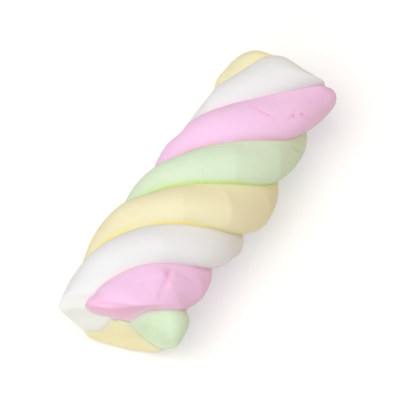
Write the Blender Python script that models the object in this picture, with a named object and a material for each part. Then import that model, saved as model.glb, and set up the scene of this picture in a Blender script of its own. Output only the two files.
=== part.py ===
"""A marshmallow twist lying on its side: four coloured strands of foam wound round each other.

Every strand is a wedge of the rope. Its inner edge runs along the middle of the rope, its two sides
lie against the neighbouring strands, and its outside is a rounded lobe. The rope lies along X, its
two chopped ends face -X and +X, and the lobes that touch the table are pressed flat at z = 0.
"""

import math

import bmesh
import bpy
from mathutils import Vector

# Driving sizes, in metres.
LENGTH = 0.0610  # from cut to cut, along the middle of the rope
MIDDLE = 0.0010  # x of the middle of that length
RADIUS = 0.0121  # from the middle of the rope to the crest of a strand
PITCH = 0.0430  # length in which a strand goes once round
GROOVE = 0.0021  # depth of the valley between two strands
GAP = 0.0003  # room between neighbouring strands
REST = 0.0005  # how far the lowest crests are pressed in by the table
RIM = 0.0022  # radius of the rounded edge of the cut ends
NEAR_TAPER = 0.0005  # how much thinner the rope is at the near end, -X
FAR_TAPER = 0.0015  # and at the far end, +X
NEAR_TAPER_REACH = 0.010  # length over which the near end thins out
FAR_TAPER_REACH = 0.026  # and the far end
NEAR_SLANT = 0.35  # x that the near cut gives way for each metre of y
FAR_SLANT = 0.20  # and the far cut
NEAR_LEAN = 0.10  # x that the near cut gives way for each metre of height
SLANT_REACH = 0.020  # length over which a slanted cut drags the strands
WAVER = 0.048  # length of the slow waver of the seams, and of the rope's own sway
RIPPLE = 0.024  # length of the quicker waver on top of it
SWAY = 0.0006  # how far the rope swings to each side of the X axis
SWAY_CREST = 0.0047  # x where it is furthest towards -Y
NEAR_PUSH = 0.0008  # how far the near cut pushed its end towards -Y
FAR_PUSH = 0.0013  # and the far cut
NEAR_NIP_REACH = 0.006  # length over which the near cut dragged a seam round
FAR_EASE_REACH = 0.007  # length over which the far end has untwisted a little

# Degrees.
NEAR_NIP = 14.0  # how far the near cut dragged the seam between white and pink round
FAR_EASE = 7.0  # how far the far end has untwisted

# Each seam's angle at x = 0, then the size and the phase of its waver and of its ripple.
SEAMS = {
    "yellow_white": (199.0, 20.5, 6.0, 4.0, -8.0),
    "white_pink": (275.0, 14.5, 44.0, 4.5, 146.0),
    "pink_green": (363.0, 9.0, 80.0, 1.0, 88.0),
    "green_yellow": (450.0, 2.0, 145.0, 1.0, 125.0),
}

# Each strand's two seams, the turns to add to the second, its crest compared with RADIUS, and its
# colour. Angles grow from white round to yellow.
STRANDS = {
    "strand_white": ("yellow_white", "white_pink", 0, 0.985, (0.87, 0.87, 0.88)),
    "strand_pink": ("white_pink", "pink_green", 0, 1.0, (0.92, 0.60, 0.84)),
    "strand_green": ("pink_green", "green_yellow", 0, 1.0, (0.68, 0.84, 0.60)),
    "strand_yellow": ("green_yellow", "yellow_white", 1, 1.03, (0.88, 0.82, 0.48)),
}

# Mesh density.
RING_STEP = 0.0014  # spacing of the cross-sections
RIM_STEPS = (0.0, 0.12, 0.4, 1.0)  # cross-sections in a rounded end, as parts of RIM
LOBE_STEPS = 10  # faces across a lobe
SIDE_STEPS = 3  # faces from the middle of the rope out to a seam
LOBE_FULLNESS = 0.7  # 0 is a shallow parabola, 1 a half circle
SEAM_ROUNDS = 14  # repeats that settle a seam on a slanted end

NEAR_END = MIDDLE - LENGTH / 2
FAR_END = MIDDLE + LENGTH / 2
AXIS_HEIGHT = RADIUS - REST


def smooth(part):
    """0 to 1 with a gentle start and end."""
    part = min(max(part, 0.0), 1.0)
    return part * part * (3.0 - 2.0 * part)


def near_part(station, reach):
    """1 at the near cut, falling smoothly to 0 this far along the rope."""
    return smooth(1.0 - (station - NEAR_END) / reach)


def far_part(station, reach):
    """1 at the far cut, falling smoothly to 0 this far back along the rope."""
    return smooth(1.0 - (FAR_END - station) / reach)


def placed(station, radius, angle):
    """A point of a cross-section, from its radius and angle about the middle of the rope."""
    near = near_part(station, SLANT_REACH)
    far = far_part(station, SLANT_REACH)
    y = radius * math.cos(angle)
    z = radius * math.sin(angle)
    x = station - y * (NEAR_SLANT * near + FAR_SLANT * far) + z * NEAR_LEAN * near
    sway = -SWAY * math.cos(math.tau * (station - SWAY_CREST) / WAVER)
    push = NEAR_PUSH * near_part(station, NEAR_TAPER_REACH) + FAR_PUSH * far
    return Vector((x, y + sway - push, AXIS_HEIGHT + z))


def wound(seam, x):
    """The angle about +X, in radians, that a seam has reached at this x."""
    start, waver, waver_phase, ripple, ripple_phase = SEAMS[seam]
    angle = start + 360.0 * x / PITCH
    angle += waver * math.sin(math.radians(waver_phase) + math.tau * x / WAVER)
    angle += ripple * math.sin(math.radians(ripple_phase) + math.tau * x / RIPPLE)
    angle -= FAR_EASE * math.exp(-(FAR_END - x) / FAR_EASE_REACH)
    if seam == "white_pink":
        angle += NEAR_NIP * math.exp(-(x - NEAR_END) / NEAR_NIP_REACH)
    return math.radians(angle)


def seam_angle(seam, station):
    """The seam's angle where it crosses the cross-section, which is slanted near the ends."""
    angle = wound(seam, station)
    for _ in range(SEAM_ROUNDS):
        angle = wound(seam, placed(station, RADIUS - GROOVE, angle).x)
    return angle


def crest_radius(station):
    """From the middle of the rope to a crest, thinner towards both ends."""
    near = near_part(station, NEAR_TAPER_REACH)
    return RADIUS - NEAR_TAPER * near - FAR_TAPER * far_part(station, FAR_TAPER_REACH)


def rim_loss(station):
    """How much the rounded edge of a cut end takes off the radius."""
    depth = min(station - NEAR_END, FAR_END - station)
    if depth >= RIM:
        return 0.0
    return RIM - math.sqrt(RIM**2 - (RIM - depth) ** 2)


def lobe_radius(station, swell, across):
    """The outside of a strand, for across from -1 at one seam to 1 at the other."""
    drop = 1.0 - math.sqrt(1.0 - LOBE_FULLNESS * across**2)
    full_drop = 1.0 - math.sqrt(1.0 - LOBE_FULLNESS)
    seam_radius = crest_radius(station) - GROOVE
    crest = crest_radius(station) * swell
    return crest - (crest - seam_radius) * drop / full_drop - rim_loss(station)


def half_gap_angle(radius):
    """The angle that keeps half of GAP, square to the winding side, at this radius."""
    wide = GAP / 2 * math.sqrt(1.0 + (math.tau * radius / PITCH) ** 2)
    return math.asin(wide / radius)


def section(strand, station):
    """The outline of a strand at a station: out along one side, over the lobe, back to the middle."""
    low_seam, high_seam, turns, swell, _ = STRANDS[strand]
    low = seam_angle(low_seam, station)
    high = seam_angle(high_seam, station) + math.tau * turns
    corner = lobe_radius(station, swell, 1.0)
    inner = GAP / 2 / math.sin((high - low) / 2)
    side = [inner + (corner - inner) * step / SIDE_STEPS for step in range(1, SIDE_STEPS)]
    polar = [(inner, (low + high) / 2)]
    polar += [(radius, low + half_gap_angle(radius)) for radius in side]
    first = low + half_gap_angle(corner)
    last = high - half_gap_angle(corner)
    for step in range(LOBE_STEPS + 1):
        part = step / LOBE_STEPS
        polar.append((lobe_radius(station, swell, 2 * part - 1), first + (last - first) * part))
    polar += [(radius, high - half_gap_angle(radius)) for radius in reversed(side)]
    return [placed(station, radius, angle) for radius, angle in polar]


def stations():
    """Where the cross-sections are: close together in the rounded ends, even between them."""
    rim = [RIM * part for part in RIM_STEPS]
    count = round((LENGTH - 2 * RIM) / RING_STEP)
    between = [RIM + (LENGTH - 2 * RIM) * step / count for step in range(1, count)]
    depths = rim + between + [LENGTH - depth for depth in reversed(rim)]
    return [NEAR_END + depth for depth in depths]


def split_sides(bm):
    """Cuts every winding side quad from its inner near corner to its outer far one, so that two
    neighbours' sides follow each other exactly."""
    ring = 2 * SIDE_STEPS + LOBE_STEPS
    for face in [face for face in bm.faces if len(face.verts) == 4]:
        spots = [(vert.index // ring, vert.index % ring, vert) for vert in face.verts]
        places = [place for _, place, _ in spots]
        on_low = max(places) <= SIDE_STEPS
        on_high = min(place or ring for place in places) >= SIDE_STEPS + LOBE_STEPS
        if not (on_low or on_high):
            continue
        depth = {place: min(place, ring - place) for place in places}
        near = min(row for row, _, _ in spots)
        inner = min(depth.values())
        start = next(v for row, place, v in spots if row == near and depth[place] == inner)
        end = next(v for row, place, v in spots if row != near and depth[place] != inner)
        bmesh.utils.face_split(face, start, end)


def strand_mesh(name):
    """One strand, made by pushing its end outline on from cross-section to cross-section."""
    bm = bmesh.new()
    rows = stations()
    near_cut = bm.faces.new([bm.verts.new(spot) for spot in section(name, rows[0])])
    face = near_cut
    for station in rows[1:]:
        made = bmesh.ops.extrude_face_region(bm, geom=[face])["geom"]
        if face is not near_cut:
            bmesh.ops.delete(bm, geom=[face], context="FACES_ONLY")
        face = next(item for item in made if isinstance(item, bmesh.types.BMFace))
        for vert, spot in zip(face.verts, section(name, station)):
            vert.co = spot
    bm.verts.index_update()
    split_sides(bm)
    everything = bm.verts[:] + bm.edges[:] + bm.faces[:]
    bmesh.ops.bisect_plane(
        bm, geom=everything, plane_co=(0, 0, 0), plane_no=(0, 0, -1), clear_outer=True
    )
    bmesh.ops.holes_fill(bm, edges=[edge for edge in bm.edges if edge.is_boundary])
    bmesh.ops.recalc_face_normals(bm, faces=bm.faces)
    mesh = bpy.data.meshes.new(name)
    bm.to_mesh(mesh)
    bm.free()
    return mesh


def foam(name, colour):
    """Soft matt foam in one pastel colour."""
    material = bpy.data.materials.new(name.replace("strand", "foam"))
    material.use_nodes = True
    shader = material.node_tree.nodes["Principled BSDF"]
    shader.inputs["Base Color"].default_value = (*colour, 1.0)
    shader.inputs["Roughness"].default_value = 0.85
    shader.inputs["Metallic"].default_value = 0.0
    return material


def main():
    for old in list(bpy.data.objects):
        bpy.data.objects.remove(old)
    for name, (_, _, _, _, colour) in STRANDS.items():
        strand = bpy.data.objects.new(name, strand_mesh(name))
        bpy.context.collection.objects.link(strand)
        strand.data.materials.append(foam(name, colour))
        strand.data.shade_smooth()
        strand.data.set_sharp_from_angle(angle=math.radians(40.0))


main()
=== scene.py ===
# %% [markdown]
# # A marshmallow twist
#
# This sweet is one short length of pastel foam rope: four strands, pink, white, yellow and green,
# squeezed out side by side while warm, wound round each other, dusted with starch and chopped. It
# lies on its side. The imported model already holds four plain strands, which stay behind for
# collision. This lesson models a finer skin for each of them and gives it a foam finish. The first
# step loads that model and remembers its box, because the finer skin has to keep to its size.

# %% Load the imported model
import math
from functools import lru_cache

import bmesh
import bpy
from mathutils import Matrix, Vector, noise


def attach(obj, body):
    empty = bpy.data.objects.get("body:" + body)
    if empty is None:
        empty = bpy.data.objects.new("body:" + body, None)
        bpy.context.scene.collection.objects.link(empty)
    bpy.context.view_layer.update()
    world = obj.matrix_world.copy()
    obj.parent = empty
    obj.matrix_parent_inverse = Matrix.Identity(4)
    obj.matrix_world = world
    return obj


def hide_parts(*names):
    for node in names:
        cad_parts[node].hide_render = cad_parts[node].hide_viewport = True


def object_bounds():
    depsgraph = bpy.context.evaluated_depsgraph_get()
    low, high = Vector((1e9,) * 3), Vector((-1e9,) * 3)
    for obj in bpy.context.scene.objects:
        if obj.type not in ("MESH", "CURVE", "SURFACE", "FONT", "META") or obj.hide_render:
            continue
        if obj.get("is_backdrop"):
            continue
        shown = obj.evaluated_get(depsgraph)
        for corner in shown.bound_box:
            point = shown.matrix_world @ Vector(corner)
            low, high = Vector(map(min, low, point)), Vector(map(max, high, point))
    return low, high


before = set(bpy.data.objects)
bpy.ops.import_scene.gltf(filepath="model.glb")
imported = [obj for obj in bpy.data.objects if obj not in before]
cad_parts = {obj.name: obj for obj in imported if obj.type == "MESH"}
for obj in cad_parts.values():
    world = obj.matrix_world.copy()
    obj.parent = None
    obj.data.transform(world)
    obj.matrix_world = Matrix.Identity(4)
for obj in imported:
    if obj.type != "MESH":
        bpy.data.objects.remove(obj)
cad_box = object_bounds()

TAU = math.tau
print("strands in the model:", ", ".join(sorted(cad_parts)))
print("box in mm:", [round(side * 1000, 1) for side in cad_box[1] - cad_box[0]])

# %% [markdown]
# ## The measures of the rope
#
# A handmade look comes from a few honest measures more than from many random ones. The rope has a
# length, a thickness and a pitch, the length in which a strand goes once round. Real foam doesn't
# wind evenly, so each seam between two colours has its own angle and wavers about it. The blade
# that chops the rope drags the soft foam along: both ends are a little thinner, slanted and pushed
# aside, and near them a few seams lean over.

# %% Write down the measures
LENGTH = 0.0610  # from cut to cut, along the middle of the rope
MIDDLE = 0.0010  # x of the middle of that length
RADIUS = 0.0121  # from the middle of the rope to the crest of a strand
PITCH = 0.0430  # length in which a strand goes once round
GROOVE = 0.0021  # depth of the valley between two strands
REST = 0.0005  # how far the lowest crests are pressed in by the table
RIM = 0.0030  # depth from a cut within which the cross-sections crowd together
NEAR_END = MIDDLE - LENGTH / 2
FAR_END = MIDDLE + LENGTH / 2
AXIS_HEIGHT = RADIUS - REST

# Each end: how much thinner it is, over which length, how far the cut gives way for each metre of
# y and of height, and how far the cut pushed the end towards -Y.
NEAR_CUT = {"taper": 0.0005, "reach": 0.010, "slant": 0.35, "lean": 0.13, "push": 0.0008}
FAR_CUT = {"taper": 0.0015, "reach": 0.026, "slant": 0.20, "lean": 0.0, "push": 0.0013}
SLANT_REACH = 0.020  # length over which a slanted cut drags the strands
WAVER = 0.048  # length of the slow waver of the seams, and of the rope's own sway
RIPPLE = 0.024  # length of the quicker waver on top of it
SWAY = 0.0006  # how far the rope swings to each side of the X axis
SWAY_CREST = 0.0047  # x where it is furthest towards -Y

# Each seam: its angle at x = 0, then the size and phase of its waver and of its ripple, in degrees.
SEAMS = {
    "yellow_white": (199.0, 20.5, 6.0, 4.0, -8.0),
    "white_pink": (275.0, 14.5, 44.0, 4.5, 146.0),
    "pink_green": (363.0, 9.0, 80.0, 1.0, 88.0),
    "green_yellow": (450.0, 2.0, 145.0, 1.0, 125.0),
}
# Where a cut dragged a seam round: the seam, the end, the degrees at the cut, and the reach.
DRAGS = [
    ("white_pink", NEAR_END, 22.0, 0.006),
    ("yellow_white", NEAR_END, 22.0, 0.005),
    ("yellow_white", FAR_END, -25.0, 0.008),
    ("white_pink", FAR_END, -18.0, 0.006),
    ("pink_green", FAR_END, -7.0, 0.007),
    ("green_yellow", FAR_END, -7.0, 0.007),
]
# Each strand: its two seams, the turns to add to the second, and its crest compared with RADIUS.
STRANDS = {
    "white": ("yellow_white", "white_pink", 0, 0.985),
    "pink": ("white_pink", "pink_green", 0, 1.0),
    "green": ("pink_green", "green_yellow", 0, 1.0),
    "yellow": ("green_yellow", "yellow_white", 1, 1.03),
}
# Inside the rope: how far the core of two neighbouring strands lies off the middle, in y and z at
# the near cut, and how far the wall between them bows at half its depth, in degrees.
CORES = {
    "yellow_white": (0.0012, 0.0012, -15.0),
    "white_pink": (0.0012, 0.0012, -10.0),
    "pink_green": (-0.0017, 0.0018, -9.0),
    "green_yellow": (-0.0017, 0.0018, 12.0),
}
# How the blade left the edge of each cut, on every strand's crest and at every seam: the radius of
# its rounding, how far it drew the foam out past the cut, and how far it flared it outwards. A
# minus sign means that it pressed the foam in instead.
RIMS = {
    "near": {
        "yellow_white": (0.0012, 0.0, 0.0008),
        "white": (0.0010, 0.0, 0.0),
        "white_pink": (0.0031, 0.0, 0.0),
        "pink": (0.0024, 0.0022, 0.0),
        "pink_green": (0.0028, -0.0017, 0.0010),
        "green": (0.0020, 0.0008, 0.0004),
        "green_yellow": (0.0010, 0.0, 0.0018),
        "yellow": (0.0020, 0.0, -0.0008),
    },
    "far": {
        "yellow_white": (0.0026, 0.0008, 0.0),
        "white": (0.0022, -0.0011, 0.0),
        "white_pink": (0.0022, 0.0, 0.0),
        "pink": (0.0020, 0.0, 0.0004),
        "pink_green": (0.0022, 0.0, 0.0),
        "green": (0.0024, 0.0, 0.0),
        "green_yellow": (0.0022, 0.0, 0.0),
        "yellow": (0.0036, 0.0016, 0.0),
    },
}
# Flat faces that its neighbours pressed on the rope in the bag: the first and the last x, the angle
# that each faces at its middle and how that turns for each metre, half the angle that it spans, all
# in degrees, and how fully it is pressed flat.
FACES = [
    (0.0175, 0.0340, 180.0, 2300.0, 24.0, 0.8),
    (0.0052, 0.0215, 14.0, 0.0, 22.0, 1.0),
    (-0.0180, -0.0040, 203.0, 0.0, 27.0, 1.0),
    (-0.0400, -0.0220, -31.0, 0.0, 30.0, 1.0),
]
# Each strand has such faces of its own too. Their borders run askew across it: where each border
# crosses the crest, and how flat the faces between them are.
BORDER_SLOPE = 0.0035  # how far a border runs back along the rope from the crest to a seam
BORDERS = {
    "white": ([-0.0260, -0.0200, -0.0150, -0.0100], 0.2),
    "pink": ([-0.0300, -0.0235, -0.0180, -0.0130], 0.25),
    "green": ([-0.0010, 0.0033, 0.0069, 0.0125, 0.0190], 0.36),
    "yellow": ([-0.0110, -0.0057, -0.0016, 0.0040], 0.52),
}
print(f"the rope winds {360 * LENGTH / PITCH:.0f} degrees from cut to cut")

# %% [markdown]
# ## One blank for every strand
#
# The four strands look different, but they started alike. Each is a wedge, a quarter of the rope,
# so one blank serves for all of them. It could be modelled as a row of cross-sections joined by
# hand, but the Spin tool does it in two moves. A row of vertices from the middle outwards is spun
# a quarter turn and becomes a slice, like a piece of a round cake. Then the slice is spun again
# while it is also pushed along X, as a screw is, and becomes the closed wedge with both its ends.
# The blank is one unit thick, one long and wound exactly once for each PITCH, so every vertex tells
# how far along, how far out and how far across the strand it is.

# %% Spin the blank
ROWS = 280  # steps from cut to cut
ARC_STEPS = 56  # steps across the outside of a strand
SPOKE = [0.0, 0.12, 0.24, 0.36, 0.48, 0.60, 0.70, 0.79, 0.87, 0.94, 1.0]  # steps outwards
CORE = SPOKE[1]
TURNS = LENGTH / PITCH
SAME = 1e-6  # closer than this, two spots are one


def blank():
    """A quarter of an even rope: x from 0 to 1, radius from 0 to 1, wound TURNS times."""
    bm = bmesh.new()
    tip = bm.verts.new((0.0, 0.0, 0.0))
    for inner, outer in zip(SPOKE, SPOKE[1:]):
        tip = bmesh.ops.extrude_vert_indiv(bm, verts=[tip])["verts"][0]
        bmesh.ops.translate(bm, verts=[tip], vec=(0.0, outer - inner, 0.0))
    screw = {"cent": (0, 0, 0), "axis": (1, 0, 0)}
    spoke = bm.verts[:] + bm.edges[:]
    bmesh.ops.spin(bm, geom=spoke, dvec=(0, 0, 0), angle=TAU / 4, steps=ARC_STEPS, **screw)
    bmesh.ops.remove_doubles(bm, verts=bm.verts, dist=SAME)
    slice_of_rope = bm.verts[:] + bm.edges[:] + bm.faces[:]
    push = (1 / ROWS, 0, 0)
    bmesh.ops.spin(bm, geom=slice_of_rope, dvec=push, angle=TAU * TURNS, steps=ROWS, **screw)
    bmesh.ops.recalc_face_normals(bm, faces=bm.faces)
    return bm


trial = blank()
print(f"the blank has {len(trial.verts)} vertices and {len(trial.faces)} faces")
trial.free()

# %% [markdown]
# ## From the even blank to the real winding
#
# The blank is wound like a machine part. To lay it like foam, each vertex is asked for its three
# shares, along, out and across, and is put where the real strand has that spot. Along the rope
# the rows crowd together at the cuts, where the edge is rounded. Across, a strand runs from one
# wavering seam to the next. This is the same as pulling and nudging a clay model, only written as
# functions, so that two neighbours always meet along exactly the same seam.

# %% Describe where the seams run
RIM_ROWS = 10  # rows that crowd together at each cut
SEAM_ROUNDS = 14  # repeats that settle a seam on a slanted cut


def smooth(part):
    """0 to 1 with a gentle start and end."""
    part = min(max(part, 0.0), 1.0)
    return part * part * (3.0 - 2.0 * part)


def near_part(station, reach):
    """1 at the near cut, falling smoothly to 0 this far along the rope."""
    return smooth(1.0 - (station - NEAR_END) / reach)


def far_part(station, reach):
    """1 at the far cut, falling smoothly to 0 this far back along the rope."""
    return smooth(1.0 - (FAR_END - station) / reach)


def placed(station, radius, angle):
    """A point of a cross-section, from its radius and angle about the middle of the rope."""
    near = near_part(station, SLANT_REACH)
    far = far_part(station, SLANT_REACH)
    y = radius * math.cos(angle)
    z = radius * math.sin(angle)
    x = station - y * (NEAR_CUT["slant"] * near + FAR_CUT["slant"] * far)
    x += z * (NEAR_CUT["lean"] * near + FAR_CUT["lean"] * far)
    sway = -SWAY * math.cos(TAU * (station - SWAY_CREST) / WAVER)
    push = NEAR_CUT["push"] * near_part(station, NEAR_CUT["reach"]) + FAR_CUT["push"] * far
    return Vector((x, y + sway - push, AXIS_HEIGHT + z))


def wound(seam, x):
    """The angle about +X, in radians, that a seam has reached at this x."""
    start, waver, waver_phase, ripple, ripple_phase = SEAMS[seam]
    angle = start + 360.0 * x / PITCH
    angle += waver * math.sin(math.radians(waver_phase) + TAU * x / WAVER)
    angle += ripple * math.sin(math.radians(ripple_phase) + TAU * x / RIPPLE)
    for dragged, end, degrees, reach in DRAGS:
        if dragged == seam:
            angle += degrees * math.exp(-abs(x - end) / reach)
    return math.radians(angle)


@lru_cache(maxsize=None)
def seam_angle(seam, station):
    """The seam's angle where it crosses the cross-section, which is slanted near the cuts."""
    angle = wound(seam, station)
    for _ in range(SEAM_ROUNDS):
        angle = wound(seam, placed(station, RADIUS - GROOVE, angle).x)
    return angle


def station_of(row):
    """Where a row of the blank goes along the rope: the rows crowd together at the cuts."""
    from_cut = min(row, ROWS - row)
    if from_cut < RIM_ROWS:
        depth = RIM * (1 - math.cos(TAU / 4 * from_cut / RIM_ROWS))
    else:
        depth = RIM + (LENGTH / 2 - RIM) * (from_cut - RIM_ROWS) / (ROWS / 2 - RIM_ROWS)
    return NEAR_END + depth if row <= ROWS / 2 else FAR_END - depth


for seam in SEAMS:
    ends = [math.degrees(seam_angle(seam, end)) for end in (NEAR_END, FAR_END)]
    print(f"{seam} runs from {ends[0]:.0f} to {ends[1]:.0f} degrees")

# %% [markdown]
# ## The rounded outside
#
# Seen from the end, a strand's outside is a lobe: nearly flat over its crest, then falling faster
# and faster into the groove that it shares with its neighbour. A quarter of a squashed circle has
# that profile. At the cuts the blade has rounded the edge, but not evenly. Each strand and each
# seam has a rounding of its own there, and between them the edge changes smoothly.

# %% Shape the lobes
LOBE_FULLNESS = 0.7  # 0 is a shallow parabola, 1 a half circle
FILLET = 0.07  # share of the lobe over which the foam has fused into a rounded groove
FLARE_REACH = 0.010  # length over which a flared cut widens
DRAW_REACH = 0.008  # length over which the blade drew the foam out


def crest_radius(station):
    """From the middle of the rope to a crest, thinner towards both ends."""
    near = NEAR_CUT["taper"] * near_part(station, NEAR_CUT["reach"])
    return RADIUS - near - FAR_CUT["taper"] * far_part(station, FAR_CUT["reach"])


def rim(colour, side, end):
    """The rounding, the draw and the flare of a cut's edge, between those of crest and seam."""
    crest = RIMS[end][colour]
    seam = RIMS[end][STRANDS[colour][1 if side > 0 else 0]]
    share = smooth(abs(side))
    return [first + (last - first) * share for first, last in zip(crest, seam)]


def rim_loss(colour, station, side):
    """How much the rounded edge of a cut takes off the radius, less what its flare adds."""
    end = "near" if station < MIDDLE else "far"
    depth = station - NEAR_END if end == "near" else FAR_END - station
    size, _, flare = rim(colour, side, end)
    gain = flare * smooth(1.0 - depth / FLARE_REACH)
    return (size - math.sqrt(size**2 - (size - depth) ** 2) if depth < size else 0.0) - gain


def drawn(colour, station, side):
    """How far along X the blade drew the foam here."""
    near = rim(colour, side, "near")[1] * near_part(station, DRAW_REACH)
    return rim(colour, side, "far")[1] * far_part(station, DRAW_REACH) - near


def lobe_radius(colour, station, side):
    """The outside of a strand, for side from -1 at one seam to 1 at the other."""
    crest = STRANDS[colour][3]
    across = abs(side)
    fillet = max(across - 1.0 + FILLET, 0.0) ** 2 / (2 * FILLET)
    drop = 1.0 - math.sqrt(1.0 - LOBE_FULLNESS * (across - fillet) ** 2)
    full_drop = 1.0 - math.sqrt(1.0 - LOBE_FULLNESS * (1.0 - FILLET / 2) ** 2)
    groove = crest_radius(station) - GROOVE
    top = crest_radius(station) * crest
    return top - (top - groove) * drop / full_drop - rim_loss(colour, station, side)


groove = lobe_radius("pink", MIDDLE, 0.0) - lobe_radius("pink", MIDDLE, 1.0)
print(f"a crest stands {groove * 1000:.1f} mm above the grooves beside it")

# %% [markdown]
# ## Flat faces and slow swells
#
# In its bag the rope lay against other ropes, and each of them left a flat face on it. Such a face
# could be cut off with a plane, but it would end in a hard edge. Here the radius only gives way
# where the round skin stands out past the face, and the face fades out along the rope. Foam is
# never quite smooth either, so broad, shallow swells are added. They come from Blender's own noise
# function, which gives the same swells each time it is asked.

# %% Press the flat faces
FACE_EDGE = 0.004  # how soft the edges of the pressed faces are, as a share of the radius
FACE_FADE = 0.004  # length in which a pressed face fades out
FACE_LIMIT = 80.0  # degrees off its middle past which a pressed face does nothing
FACE_KEEP = 6  # the higher, the closer to its seams a strand's own faces reach
SWELL = 0.00016  # height of the broad swells of the foam
SWELL_SIZE = 0.0065  # distance from one swell to the next
LUMP = 0.00003  # height of the finer unevenness of the skin
LUMP_SIZE = 0.0011
SWELL_KEEP = 4  # the higher, the closer to the seams the unevenness reaches


def pressed(station, radius, angle):
    """The radius left where neighbours in the bag pressed the rope flat."""
    for first, last, facing, turn, half, share in FACES:
        faces = facing + turn * (station - (first + last) / 2)
        off = (math.degrees(angle) - faces + 180.0) % 360.0 - 180.0
        strength = share * smooth((station - first) / FACE_FADE)
        strength *= smooth((last - station) / FACE_FADE)
        if strength > 0.0 and abs(off) < FACE_LIMIT:
            deep = 1.0 - math.cos(math.radians(half)) / math.cos(math.radians(off))
            radius *= 1.0 - strength * (deep + math.hypot(deep, FACE_EDGE)) / 2
    return radius


def flattened(colour, station, across):
    """How far a strand's own faces lie below its round skin, which they meet at their borders."""
    borders, share = BORDERS[colour]
    place = station + BORDER_SLOPE * across
    for first, last in zip(borders, borders[1:]):
        if first < place < last:
            half = TAU * (last - first) / 2 / PITCH
            off = half * (2 * (place - first) / (last - first) - 1)
            deep = share * RADIUS * (1.0 - math.cos(half) / math.cos(off))
            return deep * (1.0 - across**FACE_KEEP)
    return 0.0


def unevenness(spot, across):
    """How far the skin stands out of its true shape, dying away at the seams, which are shared."""
    swell = SWELL * noise.noise(spot / SWELL_SIZE)
    lump = LUMP * noise.noise(spot / LUMP_SIZE)
    return (swell + lump) * (1.0 - across**SWELL_KEEP)


deepest = max(share * RADIUS * (1.0 - math.cos(math.radians(half))) for *_, half, share in FACES)
print(f"a neighbour pressed the rope in by up to {deepest * 1000:.1f} mm")

# %% [markdown]
# ## The place of every spot
#
# A vertex of the blank becomes a spot of the real strand in a few steps: out to the rounded skin,
# less what was pressed flat, round to its angle, and along to where the blade drew it. The cuts
# show the inside too. There the walls between the strands don't meet in one point, and they bow as
# they were squeezed. The table has pressed the lowest crests flat, so what would reach below z = 0
# is pressed up to it.

# %% Find the place of every spot
CUT_LUMP = 0.00045  # unevenness of the cuts along X
CUT_LUMP_SIZE = 0.0048
CUT_REACH = 0.004  # length over which that unevenness fades out


def shares(spot):
    """Which row of the blank a vertex is in, and its shares out and across."""
    row = round(spot.x * ROWS)
    out = math.hypot(spot.y, spot.z)
    angle = math.atan2(spot.z, spot.y) - TAU * TURNS * row / ROWS
    quarter = angle % TAU
    if quarter > TAU * 5 / 8:  # just below the first seam, not nearly a turn past it
        quarter -= TAU
    across = 2 * quarter / (TAU / 4) - 1 if out > SAME else 0.0
    return row, out, min(max(across, -1.0), 1.0)


def inside(colour, across, station, out):
    """Where the core of the strand lies off the middle of the rope, and how its walls bow."""
    walls = [CORES[seam] for seam in STRANDS[colour][:2]]
    share = (across + 1.0) / 2
    y, z, bow = ((1.0 - share) * first + share * last for first, last in zip(*walls))
    middle = [sum(wall[axis] for wall in CORES.values()) / len(CORES) for axis in range(2)]
    shift = min(out / CORE, 1.0)
    y, z = (mean + (own - mean) * shift for mean, own in zip(middle, (y, z)))
    near = near_part(station, SLANT_REACH)
    return Vector((-NEAR_CUT["slant"] * y + NEAR_CUT["lean"] * z, y, z)) * near, bow * near


def skin_spot(colour, station, across, out=1.0):
    """Where a spot of a strand lies, from its shares along, across and out."""
    low_seam, high_seam, turns, _ = STRANDS[colour]
    low = seam_angle(low_seam, station)
    high = seam_angle(high_seam, station) + TAU * turns
    angle = (low + high) / 2 + (high - low) / 2 * across
    core, bow = inside(colour, across, station, out)
    beyond = max(out - CORE, 0.0) / (1.0 - CORE)
    radius = pressed(station, lobe_radius(colour, station, across), angle)
    radius -= flattened(colour, station, across)
    spot = placed(station, radius * beyond, angle + math.radians(bow) * math.sin(math.pi * beyond))
    spot += core * (1.0 - beyond)
    spot.x += drawn(colour, station, across) * beyond**2
    torn = near_part(station, CUT_REACH) + far_part(station, CUT_REACH)
    spot.x += CUT_LUMP * noise.noise(spot / CUT_LUMP_SIZE) * torn
    outward = Vector((0, math.cos(angle), math.sin(angle)))
    spot += outward * unevenness(spot, across) * out**3
    spot.z = max(spot.z, 0.0)
    return spot


crest = skin_spot("pink", MIDDLE, 0.0)
print("the pink crest at the middle of the rope, in mm:", [round(side * 1000, 1) for side in crest])

# %% [markdown]
# ## Laying the strands
#
# Now every strand is a copy of the blank with its vertices laid in place. A finish can't tell a cut
# from a side, so each vertex also carries six notes for it: how far it is along the rope and across
# its strand, how near to a cut it is, how much of the colour of its low and of its high neighbour
# has run into it, and how steep a mark is there, which sets the painted shade at its bottom. The
# marks come in the next step.

# %% Lay the four strands
SKIN_SMEAR = 0.00022  # how far two colours run into each other at a seam
CUT_SMEAR = 0.0011  # and on the cuts, where the blade smeared them
CUT_SOFT = 0.0010  # how far past a cut's edge its colour reaches


def lay(colour):
    """The mesh of one strand, its vertices carrying their notes for the finish."""
    bm = blank()
    names = ("along", "across", "cut", "mark", "low", "high")
    notes = {name: bm.verts.layers.float.new(name) for name in names}
    for vert in bm.verts:
        row, out, across = shares(vert.co)
        station = station_of(row)
        vert.co = skin_spot(colour, station, across, out)
        vert[notes["along"]] = station
        vert[notes["across"]] = across
        on_cut = row in (0, ROWS)
        vert[notes["cut"]] = smooth(1.0 - min(station - NEAR_END, FAR_END - station) / CUT_SOFT)
        for name, side in (("low", -1.0), ("high", 1.0)):
            away = RADIUS * out * abs(side - across) * TAU / 8
            vert[notes[name]] = math.exp(-((away / (CUT_SMEAR if on_cut else SKIN_SMEAR)) ** 2)) / 2
    return bm


laid = {colour: lay(colour) for colour in STRANDS}
for colour, bm in laid.items():
    print(f"{colour}: {bm.calc_volume(signed=True) * 1e6:.2f} cm3 of foam")
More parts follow.
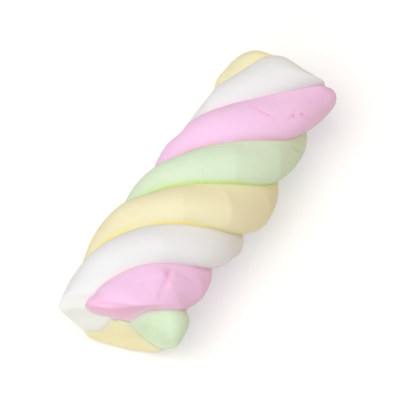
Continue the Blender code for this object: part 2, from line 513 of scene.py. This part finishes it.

# %% [markdown]
# ## Marks of handling
#
# Soft foam keeps a trace of everything that touched it: thin creases, a fold where the blade went
# in, a shallow dent, a few burst bubbles. Each mark is a short path on the skin with a depth and a
# width. The vertices near the path sink along their own normals, which is what a crease brush does
# in sculpting, and a negative depth raises them instead. A mark fades towards its ends. It stays
# off the seams, so that neighbours still meet there. The steeper a sunken mark is, the darker and
# deeper the colour painted at its bottom: painted shade in the crease.

# %% Press the marks
FULL_SHADE_STEEPNESS = 0.9  # a sunken mark this deep for its width gets the full painted shade
FADE = 0.5  # how much shallower a mark is at its ends than in its middle
MARK_REACH = 3  # how many widths from its path a mark ends
MARK_KEEP = 8  # the higher, the closer to a seam a mark reaches
# Each mark: the strand, the depth, the width, and the path. A spot of a path is its place along the
# rope, its place across the strand and, on a cut, its share out.
MARKS = [
    ("pink", 0.00013, 0.00027, [(0.0181, -0.46), (0.0183, -0.29), (0.0183, -0.11), (0.0186, 0.0)]),
    ("pink", 0.00030, 0.00034, [(0.0211, -0.07)]),
    ("pink", 0.00028, 0.00034, [(0.0224, -0.11)]),
    ("pink", 0.00018, 0.00026, [(0.0203, 0.04)]),
    ("pink", 0.00016, 0.00024, [(0.0228, 0.0)]),
    ("pink", 0.00010, 0.00030, [(0.0222, -0.36), (0.0224, -0.27)]),
    ("pink", 0.00010, 0.00030, [(0.0256, -0.62), (0.0256, -0.50)]),
    (
        "pink",
        0.00026,
        0.00042,
        [(-0.0189, -0.80), (-0.0205, -0.59), (-0.0221, -0.37), (-0.0237, -0.15)],
    ),
    ("pink", 0.00015, 0.00060, [(-0.0231, -0.25), (-0.0252, 0.05), (-0.0270, 0.33)]),
    ("pink", -0.00012, 0.00050, [(-0.0196, -0.55), (-0.0218, -0.25)]),
    ("pink", 0.00010, 0.00030, [(-0.0191, -0.61), (-0.0187, -0.45), (-0.0185, -0.29)]),
    ("pink", 0.00014, 0.00060, [(-0.0248, -0.39)]),
    (
        "pink",
        0.00022,
        0.00040,
        [(-0.0290, -0.55), (-0.0291, -0.30), (-0.0290, 0.0), (-0.0288, 0.15)],
    ),
    ("pink", 0.00026, 0.00036, [(-0.0286, -0.72)]),
    ("pink", -0.00020, 0.00045, [(-0.0278, -0.80)]),
    ("pink", -0.00050, 0.00150, [(0.0310, -0.72)]),
    ("white", 0.00015, 0.00130, [(0.0313, 0.80)]),
    ("yellow", -0.00085, 0.00240, [(0.0230, 0.52), (0.0268, 0.34)]),
    (
        "green",
        -0.00045,
        0.00055,
        [(NEAR_END, -0.75, 0.66), (NEAR_END, -0.2, 0.80), (NEAR_END, 0.6, 0.86)],
    ),
    ("green", 0.00045, 0.00160, [(NEAR_END, -0.3, 0.54), (NEAR_END, 0.4, 0.64)]),
    (
        "green",
        0.00028,
        0.00046,
        [(0.0174, -0.72), (0.0180, -0.60), (0.0184, -0.46), (0.0192, -0.34)],
    ),
    ("green", -0.00020, 0.00050, [(0.0178, -0.50), (0.0182, -0.34)]),
    ("yellow", 0.00018, 0.00050, [(-0.0078, 0.80), (-0.0072, 0.86), (-0.0066, 0.90)]),
]


def nearest(spot, path):
    """How far a spot is from a path of straight pieces, and where along the path, from 0 to 1."""
    if len(path) == 1:
        return (spot - path[0]).length, 0.5
    found = []
    for piece, (first, last) in enumerate(zip(path, path[1:])):
        run = last - first
        share = min(max((spot - first).dot(run) / run.length_squared, 0.0), 1.0)
        found.append(((spot - first - run * share).length, (piece + share) / (len(path) - 1)))
    return min(found)


def press_mark(bm, colour, depth, width, path):
    """Sinks or raises the skin of a strand along a path, and returns how many vertices moved."""
    across, mark = bm.verts.layers.float["across"], bm.verts.layers.float["mark"]
    line = [skin_spot(colour, *spot) for spot in path]
    reach = MARK_REACH * width
    low = [min(spot[axis] for spot in line) - reach for axis in range(3)]
    high = [max(spot[axis] for spot in line) + reach for axis in range(3)]
    moved = 0
    for vert in bm.verts:
        if all(low[axis] < vert.co[axis] < high[axis] for axis in range(3)):
            away, place = nearest(vert.co, line)
            if away < reach:
                share = math.exp(-((away / width) ** 2)) * (1.0 - vert[across] ** MARK_KEEP)
                share *= 1.0 - FADE * (2 * place - 1) ** 2
                vert.co -= vert.normal * depth * share
                # how much painted shade the bottom of this mark gets in the finish; raised marks get
                # none
                vert[mark] = max(vert[mark], share * depth / width / FULL_SHADE_STEEPNESS)
                moved += 1
    return moved


for colour, depth, width, path in MARKS:
    laid[colour].normal_update()
    moved = press_mark(laid[colour], colour, depth, width, path)
    print(f"{colour}: a mark moved {moved} vertices")

# %% [markdown]
# ## From meshes to pieces
#
# A bmesh is only a workbench, so each strand is now stored as a mesh in an object of its own, at
# the origin and unturned. Two calls tie it to the imported model. It rides on the body, which here
# is the whole sweet, and it takes the place of the plain strand of its colour. Its finish, made
# below, is its own, so that someone who reuses the sweet can recolour one strand.

# %% Hand the strands over
pieces = {}
for colour, bm in laid.items():
    mesh = bpy.data.meshes.new(f"twist_{colour}")
    bm.to_mesh(mesh)
    bm.free()
    mesh.shade_smooth()
    piece = bpy.data.objects.new(mesh.name, mesh)
    bpy.context.collection.objects.link(piece)
    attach(piece, "root")
    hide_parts(f"strand_{colour}")
    pieces[colour] = piece
    print(f"{piece.name}: {len(mesh.polygons)} faces")

# %% [markdown]
# ## Shader maths in plain sums
#
# Finishes are node networks, and a network of sums is hard to read as a list of nodes. Two small
# helpers make it readable. A Wire is one output socket that can be added or multiplied like a
# number. A Finish holds the nodes of a material or of the world. Its node method makes any node
# from its type, its settings and what goes into its sockets, and its give method sets what the
# closing shader gets. A short sum tries them out.

# %% Write the helpers for finishes


class Wire:
    """An output socket that takes part in sums as a number does."""

    def __init__(self, finish, socket):
        self.finish = finish
        self.socket = socket

    def sum(self, operation, first, second):
        return self.finish.node("ShaderNodeMath", {"operation": operation}, {0: first, 1: second})

    def __add__(self, other):
        return self.sum("ADD", self, other)

    def __radd__(self, other):
        return self.sum("ADD", other, self)

    def __sub__(self, other):
        return self.sum("SUBTRACT", self, other)

    def __rsub__(self, other):
        return self.sum("SUBTRACT", other, self)

    def __mul__(self, other):
        return self.sum("MULTIPLY", self, other)

    def __rmul__(self, other):
        return self.sum("MULTIPLY", other, self)

    def __pow__(self, other):
        return self.sum("POWER", self, other)


class Finish:
    """The nodes of a material or of the world, around the shader that closes them."""

    def __init__(self, owner, shader="Principled BSDF"):
        owner.use_nodes = True
        self.owner = owner
        self.nodes = owner.node_tree.nodes
        self.links = owner.node_tree.links
        self.shader = self.nodes[shader]

    def plug(self, socket, value):
        """Links a Wire to a socket, or sets the socket to a plain value."""
        if isinstance(value, Wire):
            self.links.new(value.socket, socket)
        else:
            socket.default_value = value

    def give(self, name, value):
        """Gives the closing shader a Wire or a plain value."""
        self.plug(self.shader.inputs[name], value)

    def node(self, kind, settings, inputs, output=0):
        """Makes a node, sets it up, fills its sockets and returns one of its outputs."""
        made = self.nodes.new(kind)
        for setting, value in settings.items():
            setattr(made, setting, value)
        for socket, value in inputs.items():
            self.plug(made.inputs[socket], value)
        return Wire(self, made.outputs[output])

    def mix(self, share, first, second):
        """A colour between two others."""
        settings = {"data_type": "RGBA"}
        return self.node("ShaderNodeMix", settings, {0: share, 6: first, 7: second}, 2)


trial = Finish(bpy.data.materials.new("trial"))
before = len(trial.nodes)
trial.give("Roughness", 1.0 - trial.node("ShaderNodeValue", {}, {}) * 0.5)
print(f"the sum 1 - value * 0.5 took {len(trial.nodes) - before} nodes")
bpy.data.materials.remove(trial.owner)

# %% [markdown]
# ## The foam finish
#
# Marshmallow is gelatine and sugar beaten full of air. Light goes in and comes out a millimetre or
# two away, which softens every shadow, so the finish has subsurface scattering, set once on the
# shader. Its skin is dull and dusted with starch, a little unevenly. In the grooves, where light
# passes from foam to foam, the colour looks deeper. That is painted into the base colour as painted
# groove shade, in fading, patchy bands that are weaker again towards the far end. The cuts are bare
# foam, on which the blade smeared the colours. The bottoms of the sunken marks get painted shade.
# One recipe serves all four strands, and only the five tints change.

# %% Mix the foam
TINTS = {  # the skin, the painted groove shade at its lower and at its upper seam, the cut face, and the painted shade at the bottom of a mark
    "white": (
        (0.84, 0.86, 0.895),
        (0.84, 0.82, 0.74),
        (0.93, 0.82, 0.84),
        (0.89, 0.93, 0.91),
        (0.8, 0.8, 0.8),
    ),
    "pink": (
        (0.95, 0.63, 0.92),
        (0.94, 0.58, 0.80),
        (0.94, 0.55, 0.74),
        (0.94, 0.57, 0.80),
        (0.88, 0.22, 0.52),
    ),
    "green": (
        (0.71, 0.865, 0.67),
        (0.72, 0.85, 0.62),
        (0.60, 0.83, 0.26),
        (0.71, 0.89, 0.66),
        (0.55, 0.72, 0.33),
    ),
    "yellow": (
        (0.88, 0.835, 0.57),
        (0.87, 0.825, 0.52),
        (0.91, 0.78, 0.29),
        (0.91, 0.86, 0.55),
        (0.86, 0.70, 0.22),
    ),
}
DUST = (0.95, 0.95, 0.95, 1.0)
CLOUD, PORES, POWDER = 160.0, 900.0, 2600.0  # the scales of the grains, from coarse to fine
GRAIN_ROUGHNESS = 0.6
LOWER_GROOVE_SHADE_BAND = (-0.80, -1.0)  # places across where the lower seam's painted groove shade comes in
UPPER_GROOVE_SHADE_BAND = (0.78, 0.98)  # and where the upper seam's painted groove shade comes in
GROOVE_SHADE_PATCHES = (0.25, 0.6)  # cloud values between which the painted groove shade comes in
GROOVE_SHADE_PALING = (0.016, 0.028)  # places along between which the painted groove shade grows weaker
GROOVE_SHADE_LEFT = 0.4  # and what is left of it
DUSTING = {"powder": 0.35, "cloud": 0.25}  # how much each grain changes the dust
SMOOTHEST, ROUGHER = 0.74, 0.2  # the least roughness, and what the powder adds to it
BUMP, BUMP_HEIGHT = 0.35, 0.00012  # the strength and the height of the skin's pores
POWDER_RISE = 0.7  # how high the powder stands compared with the pores
STEADY = {
    "Metallic": 0.0,
    "Specular IOR Level": 0.25,
    "Subsurface Weight": 0.25,
    "Subsurface Radius": (1.0, 0.8, 0.75),
    "Subsurface Scale": 0.0007,  # how far light travels in the foam, in metres
}


def foam(colour):
    """The finish of one strand."""
    skin, lower_groove_shade, upper_groove_shade, cut, deep = [(*tint, 1.0) for tint in TINTS[colour]]
    order = list(TINTS)
    at = order.index(colour)
    beside = [(*TINTS[order[(at + step) % len(order)]][0], 1.0) for step in (-1, 1)]
    finish = Finish(bpy.data.materials.new(f"foam_{colour}"))
    place = finish.node("ShaderNodeTexCoord", {}, {}, "Object")

    def note(name):
        return finish.node("ShaderNodeAttribute", {"attribute_name": name}, {}, "Fac")

    across, on_cut = note("across"), note("cut")

    def grain(scale, detail):
        inputs = {"Vector": place, "Scale": scale, "Detail": detail, "Roughness": GRAIN_ROUGHNESS}
        return finish.node("ShaderNodeTexNoise", {}, inputs, "Fac")

    cloud = grain(CLOUD, 2.0)
    powder = grain(POWDER, 3.0)

    def groove_shade_band(start, end):
        inputs = {"Value": across, "From Min": start, "From Max": end}
        return finish.node("ShaderNodeMapRange", {"interpolation_type": "SMOOTHSTEP"}, inputs)

    patches = {"Value": cloud, "From Min": GROOVE_SHADE_PATCHES[0], "From Max": GROOVE_SHADE_PATCHES[1]}
    paling = {"Value": note("along"), "From Min": GROOVE_SHADE_PALING[0], "From Max": GROOVE_SHADE_PALING[1]}
    paling |= {"To Min": 1.0, "To Max": GROOVE_SHADE_LEFT}
    groove_shade_share = finish.node("ShaderNodeMapRange", {}, patches)
    groove_shade_share = groove_shade_share * finish.node("ShaderNodeMapRange", {}, paling)
    # painted groove shade: towards each seam the base colour turns deeper and more saturated, in
    # patches
    tint = finish.mix(groove_shade_band(*LOWER_GROOVE_SHADE_BAND) * groove_shade_share, skin, lower_groove_shade)
    tint = finish.mix(groove_shade_band(*UPPER_GROOVE_SHADE_BAND) * groove_shade_share, tint, upper_groove_shade)
    tint = finish.mix(on_cut, tint, cut)
    tint = finish.mix(note("low"), tint, beside[0])
    tint = finish.mix(note("high"), tint, beside[1])
    # painted shade at the bottom of the sunken marks, stronger where they are steeper
    tint = finish.mix(note("mark") ** 2.0, tint, deep)
    dusting = (powder - 0.5) * DUSTING["powder"] + (cloud - 0.5) * DUSTING["cloud"]
    finish.give("Base Color", finish.mix(dusting, tint, DUST))
    finish.give("Roughness", SMOOTHEST + powder * ROUGHER)
    height = powder * POWDER_RISE + grain(PORES, 2.0)
    bump = {"Strength": BUMP, "Distance": BUMP_HEIGHT, "Height": height}
    finish.give("Normal", finish.node("ShaderNodeBump", {}, bump))
    for socket, value in STEADY.items():
        finish.give(socket, value)
    return finish.owner


for colour, piece in pieces.items():
    piece.data.materials.append(foam(colour))
print("finishes:", ", ".join(piece.data.materials[0].name for piece in pieces.values()))

# %% [markdown]
# ## A pale floor
#
# The sweet lies on a plain white table. The floor is one wide grid with a faint mottle, so it
# doesn't look like empty space, and it is marked as part of the stage, not of the object. It glows
# for the camera only, more and more with distance, so it looks white up to the horizon but throws
# no extra light on the sweet.

# %% Lay the floor
FLOOR_SIDE = 8.0
FLOOR_TINTS = ((0.80, 0.76, 0.70, 1.0), (0.82, 0.78, 0.72, 1.0))
MOTTLE = 30.0  # the scale of the mottle
FLOOR_ROUGHNESS = 0.8
GLOW_NEAR, GLOW_FAR = 0.15, 2.0  # how far from the sweet its glow starts and stops growing
GLOW_TINTS = ((0.27, 0.31, 0.37, 1.0), (0.66, 0.69, 0.73, 1.0))
NO_GLOW = (0.0, 0.0, 0.0, 1.0)
bm = bmesh.new()
bmesh.ops.create_grid(bm, x_segments=1, y_segments=1, size=FLOOR_SIDE / 2)
floor = bpy.data.objects.new("floor", bpy.data.meshes.new("floor"))
bm.to_mesh(floor.data)
bm.free()
bpy.context.collection.objects.link(floor)
paint = Finish(bpy.data.materials.new("floor_paint"))
spot = paint.node("ShaderNodeTexCoord", {}, {}, "Object")
mottle = paint.node("ShaderNodeTexNoise", {}, {"Vector": spot, "Scale": MOTTLE}, "Fac")
paint.give("Base Color", paint.mix(mottle, *FLOOR_TINTS))
paint.give("Roughness", FLOOR_ROUGHNESS)
seen = paint.node("ShaderNodeLightPath", {}, {}, "Is Camera Ray")
away = paint.node("ShaderNodeVectorMath", {"operation": "LENGTH"}, {0: spot}, "Value")
ring = {"Value": away, "From Min": GLOW_NEAR, "From Max": GLOW_FAR}
haze = paint.node("ShaderNodeMapRange", {"interpolation_type": "SMOOTHSTEP"}, ring)
paint.give("Emission Color", paint.mix(seen, NO_GLOW, paint.mix(haze, *GLOW_TINTS)))
paint.give("Emission Strength", 1.0)
floor.data.materials.append(paint.owner)
floor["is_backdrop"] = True
print(f"the floor is {FLOOR_SIDE:.0f} m wide")

# %% [markdown]
# ## Soft studio light
#
# Pastels need a bright, even light. A wide lamp high up and a smaller one below it model the lobes
# from the left, a third brightens the near end, and a weak, warm one from the right stands for the
# light that a warm room throws back. The world fills the shadows. It has two colours, a dim, warm
# one for the light that falls on the sweet, and white for the camera, which looks past it.

# %% Set the lights
FILL = (0.385, 0.352, 0.305, 1.0)
WHITE = (1.0, 1.0, 1.0, 1.0)
world = bpy.data.worlds.new("studio")
bpy.context.scene.world = world
studio = Finish(world, "Background")
seen = studio.node("ShaderNodeLightPath", {}, {}, "Is Camera Ray")
studio.give("Color", studio.mix(seen, FILL, WHITE))
LAMPS = {  # where it hangs, how wide it is, its watts and its colour
    "sky": ((-0.52, 0.30, 1.70), 2.0, 22.0, (0.98, 0.99, 1.0)),
    "key": ((-0.34, 0.24, 0.86), 0.50, 1.2, (1.0, 1.0, 1.0)),
    "front": ((-0.85, -0.30, 0.25), 0.60, 1.5, (0.94, 0.97, 1.0)),
    "warm": ((0.66, -0.42, 0.25), 0.50, 0.85, (1.0, 0.65, 0.43)),
}
for name, (hangs, width, watts, tone) in LAMPS.items():
    light = bpy.data.lights.new(name, "AREA")
    light.size, light.energy, light.color = width, watts, tone
    lamp = bpy.data.objects.new(name, light)
    lamp.location = hangs
    lamp.rotation_euler = (-Vector(hangs)).to_track_quat("-Z", "Y").to_euler()
    bpy.context.collection.objects.link(lamp)
print("lamps:", ", ".join(LAMPS))

# %% [markdown]
# ## The camera
#
# The camera looks down on the twist from well above and a little from its near end, through a long
# lens, which keeps the far end as wide as the near one. It is placed by two angles about the middle
# of the object: round it, and above the table.

# %% Place the camera
AZIMUTH, ELEVATION = math.radians(-57.0), math.radians(68.0)
FIELD = 0.0770  # width of what the camera sees at the object
DISTANCE = 0.90
back = Vector(
    (
        math.sin(AZIMUTH) * math.cos(ELEVATION),
        -math.cos(AZIMUTH) * math.cos(ELEVATION),
        math.sin(ELEVATION),
    )
)
lens = bpy.data.cameras.new("camera")
lens.lens = lens.sensor_width * DISTANCE / FIELD
camera = bpy.data.objects.new("camera", lens)
camera.location = (cad_box[0] + cad_box[1]) / 2 + back * DISTANCE
camera.rotation_euler = back.to_track_quat("Z", "Y").to_euler()
bpy.context.collection.objects.link(camera)
bpy.context.scene.camera = camera
bpy.context.scene.view_settings.view_transform = "Standard"
print(f"the lens is {lens.lens:.0f} mm long")

# %% [markdown]
# ## The two boxes
#
# The finer skins must fill the same room as the imported strands, because the imported ones are what a
# simulation feels. The last step prints both boxes in mm.

# %% Write the sizes and finish
boxes = {"cad": cad_box, "visual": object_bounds()}
for name, (low, high) in boxes.items():
    print(name, [round(value * 1000, 2) for value in (*low, *high)])
